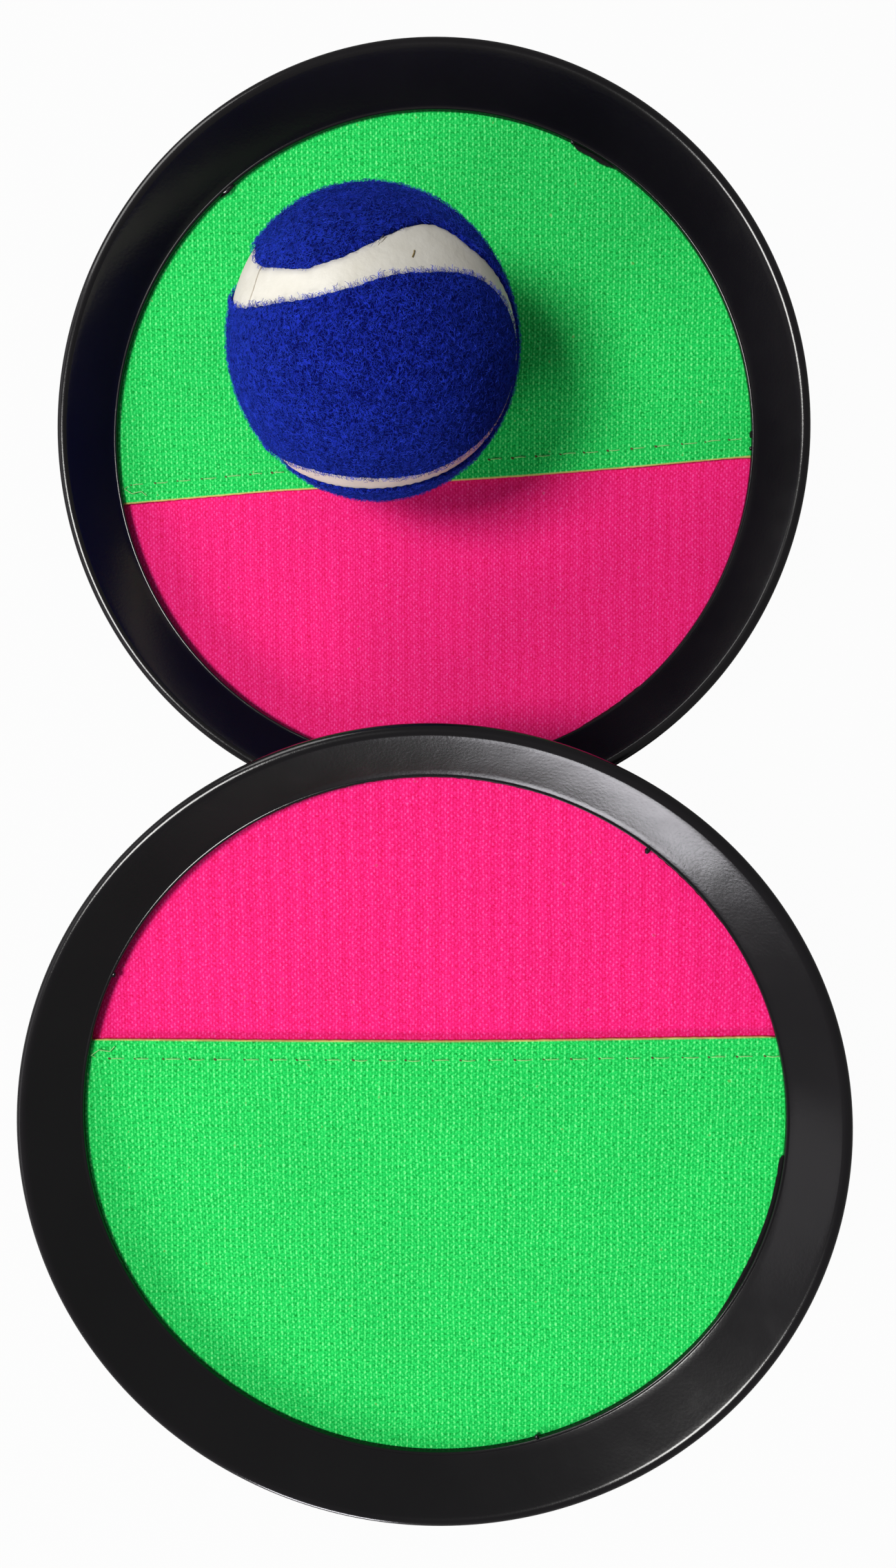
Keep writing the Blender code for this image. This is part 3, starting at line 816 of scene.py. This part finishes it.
# The felt is lighter along the curled lines and dark between them: painted highlights on the fibres and
# painted shade down in the nap.
fibre_highlight_and_pile_shade = mix_colours(tree, pile, (0.0026, 0.0036, 0.080), (0.015, 0.034, 0.50))
tree.links.new(fibre_highlight_and_pile_shade, shader.inputs["Base Color"])
add_relief(tree, shader, pile, 0.8, 0.0004)
shader.inputs["Sheen Weight"].default_value = 0.35
shader.inputs["Sheen Roughness"].default_value = 0.45
shader.inputs["Sheen Tint"].default_value = (0.05, 0.16, 1.0, 1.0)
shader.inputs["Specular IOR Level"].default_value = 0.0

fibre_finish, tree, shader = new_finish("felt_fibre", (0.012, 0.040, 0.38), 0.8)
where = add_node(tree, "ShaderNodeTexCoord").outputs["Object"]
strand = add_noise(tree, where, 700.0, 2.0).outputs["Fac"]
strand_dye = mix_colours(tree, remap(tree, strand, (0.3, 0.7)), (0.004, 0.008, 0.14), (0.032, 0.078, 0.80))
tree.links.new(strand_dye, shader.inputs["Base Color"])
shader.inputs["Specular IOR Level"].default_value = 0.10

FIBRES = 7400
FIBRE_RADIUS = 0.000032
FELT_SEED = {"a": 21, "b": 22}
EDGE_FIBRES = {"a": 2000, "b": 700}
felt_source = bmesh.new()
bmesh.ops.create_icosphere(felt_source, subdivisions=7, radius=1.0)
directions = np.array([vertex.co for vertex in felt_source.verts])
depth, side = band_depth(directions)
felt_mesh = bpy.data.meshes.new("felt_source")
felt_source.to_mesh(felt_mesh)
felt_source.free()


def bend_fibre(direction, lean, draw):
    """Three points of one short curled fibre that leans this way."""
    curl = np.cross(direction, lean)
    reach = draw.uniform(0.0006, 0.0015)
    stand = draw.uniform(0.00005, 0.00055)
    bow = draw.uniform(-0.6, 0.6) * reach
    root = direction * (BALL_RADIUS - 0.0002)
    middle = root + lean * reach * 0.5 + curl * bow + direction * (stand + 0.0001)
    return [root, middle, root + lean * reach + direction * stand * draw.uniform(0.2, 1.0)]


for letter, sign in (("a", 1), ("b", -1)):
    own_edge = plus_edge if sign > 0 else minus_edge
    shape = bmesh.new()
    shape.from_mesh(felt_mesh)
    shape.verts.ensure_lookup_table()
    away = [shape.verts[i] for i in np.nonzero((depth > 0) | (side * sign < 0))[0]]
    bmesh.ops.delete(shape, geom=away, context="VERTS")
    loose = [vertex for vertex in shape.verts if not vertex.link_faces]
    bmesh.ops.delete(shape, geom=loose, context="VERTS")
    rim_verts = [vertex for vertex in shape.verts if vertex.is_boundary]
    for vertex in rim_verts:
        direction = np.array(vertex.co)
        nearest = (band_line @ direction).argmax()
        off = np.arcsin(np.clip(direction @ band_side[nearest], -1, 1)) * BALL_RADIUS
        ragged = 0.00022 * noise.noise(vertex.co * 38.0) + 0.00016 * noise.noise(vertex.co * 110.0)
        moved = (own_edge[nearest] - off + sign * ragged) / BALL_RADIUS
        vertex.co = (vertex.co + Vector(band_side[nearest]) * float(moved)).normalized()
    for vertex in shape.verts:
        lump = 0.5 * noise.noise(vertex.co * 12.0) + 0.5 * noise.noise(vertex.co * 45.0)
        vertex.co *= BALL_RADIUS - 0.00015 + 0.00016 * lump
    shape.normal_update()
    panel = place_piece("felt_" + letter, shape, felt, ball_lie)
    panel.data.shade_smooth()
    wall = panel.modifiers.new("felt", "SOLIDIFY")
    wall.thickness = FELT_THICKNESS
    wall.offset = -1.0
    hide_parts("felt_panel_" + letter)
    draw = np.random.default_rng(FELT_SEED[letter])
    tries = draw.normal(size=(FIBRES * 4, 3))
    tries /= np.linalg.norm(tries, axis=1)[:, None]
    found, which_side = band_depth(tries)
    lines = []
    for direction in tries[(found < 0.0001) & (which_side * sign > 0)][:FIBRES]:
        lean = np.cross(direction, draw.normal(size=3))
        lines.append(bend_fibre(direction, lean / np.linalg.norm(lean), draw))
    for place in draw.integers(0, BAND_POINTS, EDGE_FIBRES[letter]):
        off = (own_edge[place] + sign * draw.uniform(-0.0001, 0.0005)) / BALL_RADIUS
        direction = band_line[place] * cos(off) + band_side[place] * sin(off)
        direction /= np.linalg.norm(direction)
        lean = -sign * band_side[place] + draw.normal(size=3) * 0.6
        lean -= direction * (lean @ direction)
        lines.append(bend_fibre(direction, lean / np.linalg.norm(lean), draw))
    fibre_mesh = curve_mesh("felt_fibres_" + letter, lines, FIBRE_RADIUS, 0)
    place_piece("felt_fibres_" + letter, fibre_mesh, fibre_finish, ball_lie)
bpy.data.meshes.remove(felt_mesh)
